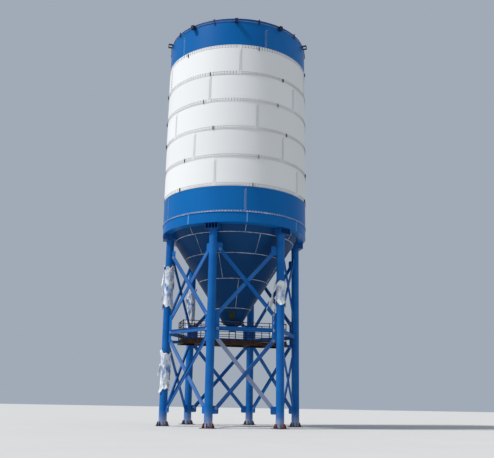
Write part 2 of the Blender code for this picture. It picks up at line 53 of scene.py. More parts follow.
# Shell, taken from the frame
SHELL_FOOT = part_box("shell_course_1")[0].z
FIRST_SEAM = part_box("shell_course_2")[0].z
COURSE_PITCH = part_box("shell_course_3")[0].z - FIRST_SEAM
WHITE_COURSES = 5
LAP = 0.20
TOP_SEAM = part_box("shell_course_7")[0].z
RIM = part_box("shell_course_7")[1].z
SHELL_RADIUS = 4.58
SHEET = 0.008
LAP_STEP = 0.0083
SHEETS_A_COURSE = 5
SHEET_SWEEP = 360.0 / SHEETS_A_COURSE
LAP_SWEEP = 1.9
JOINTS = (-66.0, -89.1, -107.0, -57.7, -94.9, -71.4, -51.1)
FACET_SWEEP = 1.2
SIDES = 240

# Bolt rows on the shell
BOLT_PITCH = 0.18
BOLT_ROWS = (0.060, 0.170)
BOLT_RADIUS = 0.021
BOLT_HEIGHT = 0.014
WASHER_RADIUS = 0.034
WASHER_HEIGHT = 0.004
JOINT_BOLT_COLUMNS = (0.03, 0.115)
JOINT_BOLT_PITCH = 0.20

# Tags that stand on the seams, one each 60 degrees, by the seam's level
TAG_SEAMS = (
    (FIRST_SEAM, -119.6),
    (FIRST_SEAM + COURSE_PITCH, -115.4),
    (FIRST_SEAM + 2 * COURSE_PITCH, -90.5),
    (FIRST_SEAM + 3 * COURSE_PITCH, -99.2),
    (FIRST_SEAM + 4 * COURSE_PITCH, -94.3),
    (TOP_SEAM + LAP - 0.29, -116.1),
)
TAG = (0.055, 0.06, 0.25)
TAGS_A_SEAM = 6

# Ring beam
RING_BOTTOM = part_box("ring_beam")[0].z
RING_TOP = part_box("ring_beam")[1].z
RING_LIP = 0.035
RING_LIP_PLATE = 0.014
RING_WEB = 0.014
RING_FLANGE = 0.018
RING_FOOT_LIP = 0.012
RING_FOOT_GAP = 0.062
RING_TOP_GAP = 0.020
RING_STRIPS = 8
RING_STRIP_START = -109.7
RING_STRIP_STEP = 46.3
RING_STRIP_SIZE = (0.010, 0.075)

# Hopper
HOPPER_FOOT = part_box("hopper_course_1")[0].z
HOPPER_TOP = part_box("hopper_course_5")[1].z
HOPPER_FOOT_RADIUS = 0.645
HOPPER_TOP_RADIUS = 4.419
HOPPER_PLATE = 0.010
HOPPER_SEAMS = (7.05, 8.71, 10.11, 11.23)
HOPPER_JOINTS = (
    (1, -64.0, 120.0),
    (2, -90.0, 90.0),
    (3, -111.6, 63.7),
    (4, -114.2, 51.4),
)
BEAD = 0.016
HOPPER_LEVELS = (HOPPER_FOOT, *HOPPER_SEAMS, HOPPER_TOP)

# Hatch on the lowest cone course: how far it stands out, its width and its height
HATCH = (0.05, 0.42, 0.62)
HATCH_ANGLE = -76.0
HATCH_BAR = 0.035

# Legs and their feet
LEGS = 6
LEG_CIRCLE = 4.12
LEG_RADIUS = 0.239
LEG_WALL = 0.012
LEG_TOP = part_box("leg_1")[1].z
LEG_SIDES = 64
BASE_PLATE = (0.76, 0.76, 0.035)
BASE_RIBS = 8
BASE_RIB = (0.13, 0.016, 0.24)
BASE_RIB_TIP = 0.05
LEG_WELD_LEVELS = (5.95, 5.62)
RUSTED_FEET = (0, 1)

# Bays between the legs
BAY_ANGLE = 360.0 / LEGS
APOTHEM = LEG_CIRCLE * math.cos(math.pi / LEGS)
BAY_CLEAR = LEG_CIRCLE - 2 * LEG_RADIUS
GUSSET = 0.016
UPPER_GUSSET = (0.33, 9.98, 10.52)
MIDDLE_GUSSET = (0.26, 4.88, 6.52)
LOWER_GUSSET = (0.32, 0.78, 1.22)
BRACE_DEPTH = 0.22
BRACE_FLANGE = 0.075
BRACE_STEEL = 0.009
BRACE_END_INSET = 0.12
UPPER_BRACE = (10.20, 6.32)
LOWER_BRACE = (4.97, 1.02)
PACKING = 0.16
STRUT_LEVEL = 5.50
STRUT_DEPTH = 0.24
STRUT_END_INSET = 0.06
END_BOLT_INSET = 0.05
GUSSET_SNIP = 0.05

# Faded braces by bay: lower falling, lower rising, upper falling, upper rising, strut
FADES = {0: (0.90, 0.10, 0.0, 0.06, 0.0), 5: (0.22, 0.05, 0.10, 0.10, 0.08)}
USUAL_FADES = (0.0, 0.05, 0.0, 0.0, 0.0)

# Roof
TOP_BAND_RADIUS = 4.5717
RIM_PLATE = 0.012
RIM_BORE = 4.4517
RIM_EDGE = TOP_BAND_RADIUS + 0.035
RIM_BOLTS = 160
RIM_LUGS = 20
RIM_LUG_START = -74.2
SOCKET = (0.26, 0.20, 0.24)
SOCKET_DROP = 0.19
SOCKET_WALL = 0.014
UPRIGHT = (0.025, 0.10, 0.33)
UPRIGHT_DROP = 0.12
KERB_RADIUS = 4.5217
KERB_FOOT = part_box("roof_kerb")[0].z
KERB_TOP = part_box("roof_kerb")[1].z
DECK_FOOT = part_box("roof_deck")[0].z + 0.008
ROOF_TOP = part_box("roof_deck")[1].z
ROOF_HUB = 0.34
ROOF_SEGMENTS = 16
ROOF_STRIP = (0.13, 0.09, 0.010)
ROOF_STRIP_BOLTS = 18
MANHOLE_ANGLE = 60.0
MANHOLE_DISTANCE = 3.2
LID_RADIUS = 0.37
PIPE_FLANGE = 0.05
# Roof fittings: name, angle, distance from the axis, radius and bolts
FITTINGS = (
    ("filter_stub", 0.0, 0.0, 0.42, 16),
    ("relief_valve_stub", 190.0, 2.2, 0.26, 12),
    ("manhole_collar", MANHOLE_ANGLE, MANHOLE_DISTANCE, 0.30, 0),
)

# Outlet, top to bottom: radii of the flanges, the throat, the valve and the spout
OUTLET_BORE = 0.625
OUTLET_RIM = 0.74
OUTLET_BOLT_CIRCLE = 0.70
THROAT_FOOT = 0.26
THROAT_TOP = 0.645
THROAT_PLATE = 0.010
THROAT_FINS = 8
VALVE_BORE = 0.20
VALVE_BODY = 0.255
VALVE_RIM = 0.30
VALVE_BOLT_CIRCLE = 0.278
VALVE_BOSSES = (0.06, 0.045)
SPOUT_WALL = 0.01
SPOUT_COLLAR = 0.22

# Platform
DECK_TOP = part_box("platform_deck")[1].z
DECK_ANGLE = 30.0
DECK_END = 3.28
DECK_HALF_WIDTH = 0.95
DECK_LEGS = (2, 5)
POST = 0.050
RAIL_HEIGHT = 1.20
RAILS = 4
POSTS_A_SIDE = 3
CLEAT = (0.20, 0.26, 0.16)
BEAM_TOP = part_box("platform_beams")[1].z
BEAM_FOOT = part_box("platform_beams")[0].z

# Film left on the legs: name, leg from 0, foot, top, seed, width of the tear, its facing
FILM_SLEEVES = (
    ("film_leg_6_upper", 5, 6.95, 9.60, 1.7, 50.0, 200.0),
    ("film_leg_6_lower", 5, 2.00, 4.35, 4.2, 50.0, 170.0),
    ("film_leg_5", 4, 6.40, 8.75, 8.1, 60.0, 60.0),
    ("film_leg_2", 1, 7.05, 8.35, 5.5, 40.0, 100.0),
)
# Strips that hang off it: name, leg, angle round it, top, foot, width, drift, seed
FILM_STRIPS = (
    ("film_strip_leg_2", 1, 227.0, 8.30, 6.60, 0.70, (0.42, 0.10), 2.4),
    ("film_rag_leg_2", 1, 222.0, 6.95, 5.30, 0.42, (0.18, 0.06), 5.1),
    ("film_strip_leg_6", 5, -12.0, 9.35, 8.25, 0.42, (0.12, -0.05), 6.3),
    ("film_rag_leg_6", 5, -20.0, 8.05, 7.45, 0.34, (0.10, 0.05), 1.3),
    ("film_rag_leg_6_low", 5, 0.0, 3.60, 2.90, 0.36, (0.10, -0.04), 3.3),
)
FILM_THICKNESS = 0.0015
FILM_STEP = 0.05

# Camera: distance, height and turn were fitted to the photograph
CAMERA_TURN = 17.33
CAMERA_DISTANCE = 43.284
CAMERA_HEIGHT = 1.333
YAW, PITCH, ROLL = 0.0189, 0.2492, 0.0158
LENS = 50.14
SENSOR = 36.0

# Light: a soft key from the photograph's left, and an even pale sky
KEY_AZIMUTH = -141.0
KEY_HEIGHT = 50.0
KEY_POWER = 3.3
KEY_SOFTNESS = 8.0
SKY = (0.66, 0.75, 0.88)
SKY_POWER = 0.54
FLOOR_SIZE = 400.0

# A hair between pieces that touch, the gloss of every finish, and straight up
SEAT = 0.0003
GLOSS = 0.12
UP = Vector((0, 0, 1))


def turn(angle):
    """Local x points out from the axis at this angle, and y round it."""
    return Matrix.Rotation(math.radians(angle), 4, "Z")


def move(x, y, z):
    return Matrix.Translation((x, y, z))


def at_leg(index):
    return turn(-90.0 + index * BAY_ANGLE) @ move(LEG_CIRCLE, 0, 0)


def in_bay(index):
    """The frame of a bay, seen from outside: x to the right, y inward."""
    angle = -90.0 + (index + 0.5) * BAY_ANGLE
    return turn(angle) @ move(APOTHEM, 0, 0) @ turn(90)


def hopper_radius(level):
    share = (level - HOPPER_FOOT) / (HOPPER_TOP - HOPPER_FOOT)
    return HOPPER_FOOT_RADIUS + (HOPPER_TOP_RADIUS - HOPPER_FOOT_RADIUS) * share


def tube_faces(count):
    """Faces of a bar between two rings of corners: its sides, then its ends."""
    faces = [(i, (i + 1) % count, count + (i + 1) % count, count + i) for i in range(count)]
    faces.append(tuple(range(count - 1, -1, -1)))
    faces.append(tuple(range(count, 2 * count)))
    return faces


def grid_faces(columns, rows):
    stride = columns + 1
    corners = [row * stride + column for row in range(rows) for column in range(columns)]
    return [(a, a + 1, a + stride + 1, a + stride) for a in corners]


def band(inner, outer, low, high):
    """The outline of a ring with square edges."""
    return (inner, low), (outer, low), (outer, high), (inner, high)


def places_round(count, start=0.0):
    return [turn(start + 360.0 * number / count) for number in range(count)]


def bead_runs(lengths, sizes, gaps):
    """Start, sweep and size of each run of bead round the silo, uneven by hand: sealant on the
    hopper, and on the ring's top sealant that is partly painted highlight.
    """
    angle = 0.0
    while angle < 359.0:
        sweep = min(random.uniform(*lengths), 359.5 - angle)
        yield angle, sweep, BEAD * random.uniform(*sizes)
        angle += sweep + random.uniform(*gaps)


def new_object(name, data):
    obj = bpy.data.objects.new(name, data)
    bpy.context.scene.collection.objects.link(obj)
    return obj


class Shape:
    """Corners and faces under construction, with a tone for each face."""

    def __init__(self):
        self.points = []
        self.faces = []
        self.tones = []

    def add(self, points, faces, tone=0.0):
        base = len(self.points)
        self.points.extend(points)
        for face in faces:
            self.faces.append([base + corner for corner in face])
            self.tones.append(tone)

    def box(self, low, high, place=Matrix(), tone=0.0):
        corners = []
        for x in (low[0], high[0]):
            for y in (low[1], high[1]):
                for z in (low[2], high[2]):
                    corners.append(place @ Vector((x, y, z)))
        faces = (
            (0, 1, 3, 2), (4, 6, 7, 5), (0, 4, 5, 1), (2, 3, 7, 6), (0, 2, 6, 4), (1, 5, 7, 3),
        )
        self.add(corners, faces, tone)

    def turned(self, profile, sides=SIDES, place=Matrix(), start=0.0, sweep=360.0, tone=0.0):
        """A closed outline of (radius, level), turned about the frame's z."""
        whole = abs(sweep - 360.0) < 1e-6
        steps = sides if whole else sides + 1
        count = len(profile)
        points = []
        for step in range(steps):
            angle = math.radians(start + sweep * step / sides)
            c, s = math.cos(angle), math.sin(angle)
            points.extend(place @ Vector((r * c, r * s, z)) for r, z in profile)
        faces = []
        for step in range(sides):
            a = step * count
            b = (step + 1) % steps * count
            for corner in range(count):
                after = (corner + 1) % count
                faces.append((a + corner, b + corner, b + after, a + after))
        if not whole:
            faces.append(tuple(range(count)))
            faces.append(tuple(range(steps * count - 1, (steps - 1) * count - 1, -1)))
        self.add(points, faces, tone)

    def prism(self, ends, axis, radius, sides):
        """A bar about an axis, each end given as a point and a distance on from it."""
        spin = axis.to_track_quat("Z", "Y").to_matrix()
        points = []
        for point, level in ends:
            for step in range(sides):
                angle = 2 * math.pi * step / sides
                local = (radius * math.cos(angle), radius * math.sin(angle), level)
                points.append(point + spin @ Vector(local))
        self.add(points, tube_faces(sides))

    def rod(self, start, end, radius, sides=12):
        start, end = Vector(start), Vector(end)
        along = (end - start).normalized()
        self.prism(((start, 0.0), (end, 0.0)), along, radius, sides)

    def plate(self, outline, thick, place):
        """A flat outline in the frame's x and z, as a plate centred on y."""
        points = [place @ Vector((x, -thick / 2, z)) for x, z in outline]
        points += [place @ Vector((x, thick / 2, z)) for x, z in outline]
        self.add(points, tube_faces(len(outline)))

    def bolt(self, point, out, size=1.0):
        """A hexagon head on a round washer, its foot at the point."""
        washer = WASHER_HEIGHT * size
        head = BOLT_HEIGHT * size
        self.prism(((point, washer), (point, head)), out, BOLT_RADIUS * size, 6)
        self.prism(((point, -0.002), (point, washer)), out, WASHER_RADIUS * size, 8)

    def piece(self, name, material, slot="blue_paint", smooth=35.0, bevel=0.0, orient=True):
        """The shape as a piece of the scene that rides on the part's body."""
        mesh = bpy.data.meshes.new(name)
        mesh.from_pydata(self.points, [], self.faces)
        tone = mesh.attributes.new("tone", "FLOAT", "FACE")
        tone.data.foreach_set("value", self.tones)
        if orient:
            bm = bmesh.new()
            bm.from_mesh(mesh)
            bmesh.ops.recalc_face_normals(bm, faces=bm.faces)
            bm.to_mesh(mesh)
            bm.free()
        mesh.polygons.foreach_set("use_smooth", [True] * len(mesh.polygons))
        mesh.set_sharp_from_angle(angle=math.radians(smooth))
        mesh.materials.append(material)
        obj = new_object(name, mesh)
        if bevel:
            rounded = obj.modifiers.new("rounded edges", "BEVEL")
            rounded.width = bevel
            rounded.segments = 2
            rounded.limit_method = "ANGLE"
        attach(obj, "root")
        return obj


class Nodes:
    """A material's node tree, with short calls for the nodes used here."""

    def __init__(self, name):
        self.material = bpy.data.materials.new(name)
        self.material.use_nodes = True
        self.tree = self.material.node_tree
        self.shader = self.tree.nodes["Principled BSDF"]
        self.place = self.tree.nodes.new("ShaderNodeTexCoord").outputs["Object"]

    def put(self, value, socket):
        if isinstance(value, bpy.types.NodeSocket):
            self.tree.links.new(value, socket)
        else:
            socket.default_value = value

    def node(self, kind, **inputs):
        """A new node, its inputs named with underscores for spaces."""
        node = self.tree.nodes.new("ShaderNode" + kind)
        for name, value in inputs.items():
            self.put(value, node.inputs[name.replace("_", " ")])
        return node

    def noise(self, scale, detail=4.0, stretch=(1, 1, 1), roughness=0.55):
        place = self.node("Mapping", Vector=self.place, Scale=stretch).outputs["Vector"]
        inputs = {"Scale": scale, "Detail": detail, "Roughness": roughness}
        return self.node("TexNoise", Vector=place, **inputs).outputs["Fac"]

    def ramp(self, value, low, high, start=0.0, end=1.0):
        """The value mapped from low..high to start..end, and held there."""
        node = self.node("MapRange", Value=value, From_Min=low, From_Max=high)
        self.put(start, node.inputs["To Min"])
        self.put(end, node.inputs["To Max"])
        return node.outputs["Result"]

    def math(self, operation, a, b):
        node = self.node("Math")
        node.operation = operation
        self.put(a, node.inputs[0])
        self.put(b, node.inputs[1])
        return node.outputs[0]

    def mix(self, share, a, b):
        node = self.node("Mix")
        node.data_type = "RGBA"
        self.put(share, node.inputs["Factor"])
        for value, name in ((a, "A_Color"), (b, "B_Color")):
            socket = next(s for s in node.inputs if s.identifier == name)
            self.put(value if not isinstance(value, tuple) else (*value, 1.0), socket)
        return next(s for s in node.outputs if s.identifier == "Result_Color")

    def attribute(self, name):
        node = self.node("Attribute")
        node.attribute_name = name
        return node.outputs["Fac"]

    def height(self):
        return self.node("SeparateXYZ", Vector=self.place).outputs["Z"]

    def bump(self, value, distance, strength):
        node = self.node("Bump", Height=value, Distance=distance, Strength=strength)
        self.put(node.outputs["Normal"], self.shader.inputs["Normal"])

    def finish(self, colour, roughness, metallic=0.0):
        self.put(colour, self.shader.inputs["Base Color"])
        self.put(roughness, self.shader.inputs["Roughness"])
        self.shader.inputs["Metallic"].default_value = metallic
        self.shader.inputs["Specular IOR Level"].default_value = GLOSS
        return self.material


def sheet_paint(name, colour, worn, pale, roughness):
    """Sprayed paint on sheet steel: cloudy wear, faint rain streaks and sheet tones."""
    nodes = Nodes(name)
    clouds = nodes.ramp(nodes.noise(0.45, 5.0), 0.35, 0.75, 0.0, 0.35)
    base = nodes.mix(clouds, colour, worn)
    streaks = nodes.ramp(nodes.noise(5.0, 3.0, (1, 1, 0.06)), 0.55, 0.80, 0.0, 0.22)
    base = nodes.mix(streaks, base, worn)
    tone = nodes.attribute("tone")
    base = nodes.mix(nodes.ramp(tone, 0.0, 1.0), base, pale)
    base = nodes.mix(nodes.ramp(tone, 0.0, -1.0, 0.0, 0.5), base, (0.0, 0.0, 0.0))
    grain = nodes.noise(90.0, 2.0)
    nodes.bump(nodes.noise(1.4, 2.0, (1, 1, 0.5)), 0.010, 0.25)
    rough = nodes.ramp(grain, 0.3, 0.7, roughness - 0.05, roughness + 0.07)
    return nodes.finish(base, rough)


def frame_paint(name, colour, worn, dust, roughness):
    """Brushed paint on the steel frame: scuffs, runs, and yard dust at the foot."""
    nodes = Nodes(name)
    clouds = nodes.ramp(nodes.noise(1.1, 6.0), 0.42, 0.78, 0.0, 0.55)
    base = nodes.mix(clouds, colour, worn)
    scuffs = nodes.ramp(nodes.noise(9.0, 6.0, roughness=0.7), 0.63, 0.72, 0.0, 0.45)
    base = nodes.mix(scuffs, base, worn)
    tone = nodes.attribute("tone")
    base = nodes.mix(nodes.ramp(tone, 0.0, 1.0), base, (0.27, 0.31, 0.43))
    ground = nodes.ramp(nodes.height(), 0.05, 1.05, 1.0, 0.0)
    patchy = nodes.ramp(nodes.noise(2.6, 5.0), 0.30, 0.70, 0.35, 1.25)
    dusty = nodes.math("MULTIPLY", nodes.math("POWER", ground, 1.8), patchy)
    base = nodes.mix(nodes.ramp(dusty, 0.0, 1.0, 0.0, 0.85), base, dust)
    nodes.bump(nodes.noise(60.0, 3.0), 0.002, 0.35)
    rough = nodes.ramp(nodes.noise(7.0, 4.0), 0.3, 0.7, roughness - 0.08, roughness + 0.12)
    return nodes.finish(base, rough)


def plain_steel(name, colour, other, roughness, metallic=0.0, scale=6.0):
    nodes = Nodes(name)
    patches = nodes.ramp(nodes.noise(scale, 6.0, roughness=0.65), 0.42, 0.66)
    base = nodes.mix(patches, colour, other)
    nodes.bump(nodes.noise(45.0, 3.0), 0.003, 0.4)
    rough = nodes.ramp(patches, 0.0, 1.0, roughness - 0.08, roughness + 0.10)
    return nodes.finish(base, rough, metallic)


def film_material():
    """Torn protective film: milky, with blue and cream patches and fine creases."""
    nodes = Nodes("protective_film")
    patches = nodes.ramp(nodes.noise(3.4, 5.0, (1, 1, 0.6), 0.65), 0.40, 0.62)
    clear = nodes.math("MULTIPLY", patches, nodes.attribute("tone"))
    milky = nodes.ramp(nodes.noise(9.0, 4.0, (1, 1, 0.35), 0.7), 0.50, 0.68, 0.0, 0.6)
    through = nodes.mix(milky, (0.045, 0.170, 0.500), (0.38, 0.52, 0.72))
    base = nodes.mix(clear, (0.80, 0.82, 0.80), through)
    cream = nodes.ramp(nodes.noise(3.1, 4.0, (1, 1, 0.7)), 0.60, 0.70, 0.0, 0.6)
    base = nodes.mix(cream, base, (0.70, 0.60, 0.42))
    nodes.bump(nodes.noise(14.0, 6.0, (1, 1, 0.4), 0.7), 0.02, 0.9)
    return nodes.finish(base, 0.32)


WHITE_PAINT = sheet_paint(
    "white_sheet_paint", (0.81, 0.81, 0.80), (0.78, 0.78, 0.76), (0.90, 0.90, 0.89), 0.42
)
BLUE_PAINT = sheet_paint(
    "blue_sheet_paint", (0.0012, 0.118, 0.385), (0.003, 0.165, 0.450), (0.20, 0.42, 0.70), 0.34
)
# Hopper paint: the shell's blue made much darker, as painted shade for the shade under the ring
# beam; it also paints the hatch frame and the outlet.
HOPPER_SHADED_PAINT = sheet_paint(
    "hopper_paint_painted_shade", (0.0008, 0.040, 0.135), (0.003, 0.064, 0.185), (0.20, 0.36, 0.60), 0.50
)
FRAME_PAINT = frame_paint(
    "frame_paint", (0.0035, 0.110, 0.380), (0.020, 0.170, 0.460), (0.50, 0.47, 0.45), 0.42
)
RUST = plain_steel("rusted_steel", (0.22, 0.055, 0.025), (0.10, 0.035, 0.020), 0.75)
# Near-black brown steel for the platform, railings and valve: painted shade, standing for the shade
# the platform sits in.
SHADED_DARK_STEEL = plain_steel("platform_steel", (0.022, 0.016, 0.014), (0.075, 0.030, 0.016), 0.62)
LUG_STEEL = plain_steel("lug_steel", (0.010, 0.018, 0.060), (0.030, 0.040, 0.090), 0.50)
BOLT_STEEL = plain_steel(
    "bolt_steel", (0.022, 0.019, 0.018), (0.012, 0.010, 0.009), 0.60, 0.0, 30.0
)
ZINC = plain_steel("zinc_bolts", (0.62, 0.63, 0.64), (0.42, 0.43, 0.45), 0.42, 0.5, 30.0)
SEALANT = plain_steel("sealant", (0.66, 0.66, 0.68), (0.20, 0.26, 0.40), 0.60, 0.0, 3.0)
HATCH_PAINT = plain_steel("hatch_paint", (0.045, 0.050, 0.012), (0.020, 0.024, 0.016), 0.55)
BASE_STEEL = plain_steel("base_steel", (0.020, 0.060, 0.160), (0.16, 0.10, 0.08), 0.60)
HEAD_PAINT = plain_steel("bracket_paint", (0.004, 0.060, 0.230), (0.012, 0.085, 0.270), 0.45)
# Pale grey rim flange: a painted highlight for the lit edge of the flange.
RIM_HIGHLIGHT_PAINT = plain_steel("rim_paint_painted_highlight", (0.34, 0.36, 0.44), (0.16, 0.20, 0.34), 0.45)
# Kerb paint: the blue made darker, as painted shade for the kerb in shade.
KERB_SHADED_PAINT = plain_steel("kerb_paint_painted_shade", (0.003, 0.080, 0.310), (0.003, 0.060, 0.240), 0.45)
FILM = film_material()


def bolt_piece(shape, name, material=ZINC):
    shape.piece(name, material, "zinc_bolts", orient=False)


def bolt_circle(name, count, radius, level, out, size, place=Matrix(), start=0.0):
    """Bolts at even steps round a circle, as a piece of their own."""
    bolts = Shape()
    for spin in places_round(count, start):
        bolts.bolt(place @ spin @ Vector((radius, 0, level)), out, size)
    bolt_piece(bolts, name)


def course_levels(course):
    """Foot, top, and outer radius there, of a shell course counted from 0."""
    if course == 0:
        return SHELL_FOOT, FIRST_SEAM + LAP, SHELL_RADIUS, SHELL_RADIUS
    if course == WHITE_COURSES + 1:
        inside = SHELL_RADIUS - 2.5 * LAP_STEP
        return TOP_SEAM, RIM, inside, inside
    foot = FIRST_SEAM + (course - 1) * COURSE_PITCH
    return foot, foot + COURSE_PITCH + LAP, SHELL_RADIUS + 2.5 * LAP_STEP, SHELL_RADIUS


def sheet_radius(course, angle, level):
    """Outer face of a course, which steps out from each sheet's start to its end."""
    foot, top, foot_radius, top_radius = course_levels(course)
    share = (level - foot) / (top - foot)
    round_share = ((angle - JOINTS[course]) % SHEET_SWEEP) / SHEET_SWEEP
    return foot_radius + (top_radius - foot_radius) * share + LAP_STEP * round_share


def shell_course(course):
    """Five curved sheets that lap at their upright joints."""
    foot, top, foot_radius, top_radius = course_levels(course)
    shape = Shape()
    steps = round((SHEET_SWEEP + LAP_SWEEP) / FACET_SWEEP)
    for number in range(SHEETS_A_COURSE):
        start = JOINTS[course] + number * SHEET_SWEEP
        tone = random.uniform(-0.10, 0.10)
        points = []
        for step in range(steps + 1):
            sweep = (SHEET_SWEEP + LAP_SWEEP) * step / steps
            angle = math.radians(start + sweep)
            out = Vector((math.cos(angle), math.sin(angle), 0))
            spread = LAP_STEP * sweep / SHEET_SWEEP
            for inset in (SHEET, 0.0):
                points.append(out * (foot_radius + spread - inset) + Vector((0, 0, foot)))
                points.append(out * (top_radius + spread - inset) + Vector((0, 0, top)))
        faces = []
        for step in range(steps):
            a = step * 4
            b = a + 4
            faces.append((a + 2, b + 2, b + 3, a + 3))
            faces.append((a, a + 1, b + 1, b))
            faces.append((a, b, b + 2, a + 2))
            faces.append((a + 1, a + 3, b + 3, b + 1))
        last = steps * 4
        faces.append((0, 2, 3, 1))
        faces.append((last, last + 1, last + 3, last + 2))
        shape.add(points, faces, tone)
    blue = course in (0, WHITE_COURSES + 1)
    slot = "blue_paint" if blue else "white_paint"
    piece = shape.piece(f"shell_sheets_{course + 1}", BLUE_PAINT if blue else WHITE_PAINT, slot)
    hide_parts(f"shell_course_{course + 1}")


def surface_point(course, angle, level):
    """A point on a course's outer face, and the way out from there."""
    out = turn(angle) @ Vector((1, 0, 0))
    return out * sheet_radius(course, angle, level) + Vector((0, 0, level)), out


def seam_bolts(name, course, levels, material, size=1.0):
    """Rows of bolts round the shell through two lapped courses."""
    shape = Shape()
    count = round(2 * math.pi * SHELL_RADIUS / BOLT_PITCH)
    for level in levels:
        for number in range(count):
            angle = JOINTS[course] + 360.0 * number / count
            point, out = surface_point(course, angle, level)
            shape.bolt(point, out, size * random.uniform(0.92, 1.08))
    bolt_piece(shape, name, material)


def joint_bolts(course, material):
    """Two staggered columns of bolts in each upright lap of a course."""
    foot, top, _, _ = course_levels(course)
    low = foot + (0.28 if course else 0.12)
    high = top - (LAP + 0.10 if course <= WHITE_COURSES - 1 else 0.30)
    count = round((high - low) / JOINT_BOLT_PITCH)
    shape = Shape()
    for number in range(SHEETS_A_COURSE):
        edge = JOINTS[course] + number * SHEET_SWEEP
        for column, inset in enumerate(JOINT_BOLT_COLUMNS):
            angle = edge + math.degrees(inset / SHELL_RADIUS)
            for step in range(count):
                level = low + (high - low) * (step + column / 2) / count
                point, out = surface_point(course, angle, level)
                shape.bolt(point + out * LAP_STEP, out, 0.95)
    bolt_piece(shape, f"joint_bolts_{course + 1}", material)


def seam_tags():
    """Short upright tags on the seams, each a bent plate with two bolts."""
    shape = Shape()
    bolts = Shape()
    width, depth, height = TAG
    for level, start in TAG_SEAMS:
        for place in places_round(TAGS_A_SEAM, start):
            face = SHELL_RADIUS + 3.5 * LAP_STEP
            foot = level - 0.03
            back = (face - 0.006, -width / 2, foot)
            shape.box(back, (face + 0.008, width / 2, foot + height), place)
            wing = (face, -0.006, foot + 0.02)
            shape.box(wing, (face + depth, 0.006, foot + height - 0.02), place)
            for share in (0.25, 0.75):
                point = place @ Vector((face + 0.008, 0.017, foot + height * share))
                bolts.bolt(point, place.to_3x3() @ Vector((1, 0, 0)), 0.5)
    shape.piece("seam_tags", BOLT_STEEL, "lug_steel", bevel=0.002)
    bolt_piece(bolts, "seam_tag_bolts")


def ring_beam():
    """The rolled channel below the shell, with lips, cover strips, and sealant beads on its top
    whose broken runs are partly painted highlight for light on the bolt heads.
    """
    shape = Shape()
    inner = hopper_radius(RING_BOTTOM) + RING_FOOT_GAP
    outer = SHELL_RADIUS
    foot_lip = outer + RING_FOOT_LIP
    lip = outer + RING_LIP
    plate = RING_LIP_PLATE
    top_inner = HOPPER_TOP_RADIUS + RING_TOP_GAP
    profile = (
        (inner, RING_BOTTOM), (foot_lip, RING_BOTTOM), (foot_lip, RING_BOTTOM + plate),
        (outer, RING_BOTTOM + plate), (outer, RING_TOP - plate), (lip, RING_TOP - plate),
        (lip, RING_TOP), (top_inner, RING_TOP), (top_inner, RING_TOP - RING_FLANGE),
        (outer - RING_WEB, RING_TOP - RING_FLANGE), (outer - RING_WEB, RING_BOTTOM + RING_FLANGE),
        (inner, RING_BOTTOM + RING_FLANGE),
    )
    shape.turned(profile)
    ring = shape.piece("ring_beam_channel", BLUE_PAINT)
    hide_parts("ring_beam")

    strips = Shape()
    thick, width = RING_STRIP_SIZE
    low = (outer - 0.002, -width / 2, RING_BOTTOM + plate + 0.01)
    high = (outer + thick, width / 2, RING_TOP - plate - 0.01)
    for number in range(RING_STRIPS):
        strips.box(low, high, turn(RING_STRIP_START + number * RING_STRIP_STEP), 0.55)
    strips.piece("ring_cover_strips", BLUE_PAINT, bevel=0.002)

    # Pale sealant beads in broken runs: partly real sealant, partly painted highlight for light on
    # the bolt heads.
    bead = Shape()
    radius = outer + LAP_STEP + 0.002
    for angle, sweep, size in bead_runs((0.8, 3.2), (0.8, 1.5), (0.10, 0.55)):
        section = (
            (radius - 0.004, RING_TOP), (radius + size * 1.3, RING_TOP),
            (radius + size * 0.8, RING_TOP + size * 0.8), (radius - 0.004, RING_TOP + size * 1.4),
        )
        bead.turned(section, 3, start=angle, sweep=sweep)
    bead.piece("foot_sealant_and_painted_highlight", SEALANT, "sealant")


def hopper():
    """Five rolled cone courses, a hair apart."""
    for course, (low, high) in enumerate(zip(HOPPER_LEVELS, HOPPER_LEVELS[1:])):
        if high < HOPPER_TOP:
            high -= SEAT
        shape = Shape()
        profile = (
            (hopper_radius(low) - HOPPER_PLATE, low), (hopper_radius(low), low),
            (hopper_radius(high), high), (hopper_radius(high) - HOPPER_PLATE, high),
        )
        shape.turned(profile)
        # Painted shade: the cones take the darkened hopper paint.
        piece = shape.piece(f"hopper_cone_{course + 1}", HOPPER_SHADED_PAINT)
        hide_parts(f"hopper_course_{course + 1}")


def hopper_beads():
    """Sealant along the hopper's seams and down its plate joints."""
    shape = Shape()
    for level in HOPPER_SEAMS:
        radius = hopper_radius(level)
        for angle, sweep, size in bead_runs((2.0, 9.0), (0.75, 1.35), (0.15, 0.6)):
            section = (
                (radius - 0.006, level - size), (radius + size * 0.7, level - size * 0.7),
                (radius + size, level + size * 0.3), (radius + 0.004, level + size * 1.1),
            )
            shape.turned(section, max(2, round(sweep / 1.5)), start=angle, sweep=sweep)
    pieces = 5
    for course, start, step in HOPPER_JOINTS:
        low = HOPPER_LEVELS[course] + 0.03
        high = HOPPER_LEVELS[course + 1] - 0.03
        for number in range(int(360 / step + 0.05)):
            place = turn(start + number * step)
            a = place @ Vector((hopper_radius(low) + 0.004, 0, low))
            b = place @ Vector((hopper_radius(high) + 0.004, 0, high))
            for k in range(pieces):
                p = a.lerp(b, (k + 0.02) / pieces)
                q = a.lerp(b, (k + 0.97) / pieces)
                shape.rod(p, q, BEAD * random.uniform(0.6, 0.95), 6)
    shape.piece("hopper_sealant", SEALANT, "sealant")


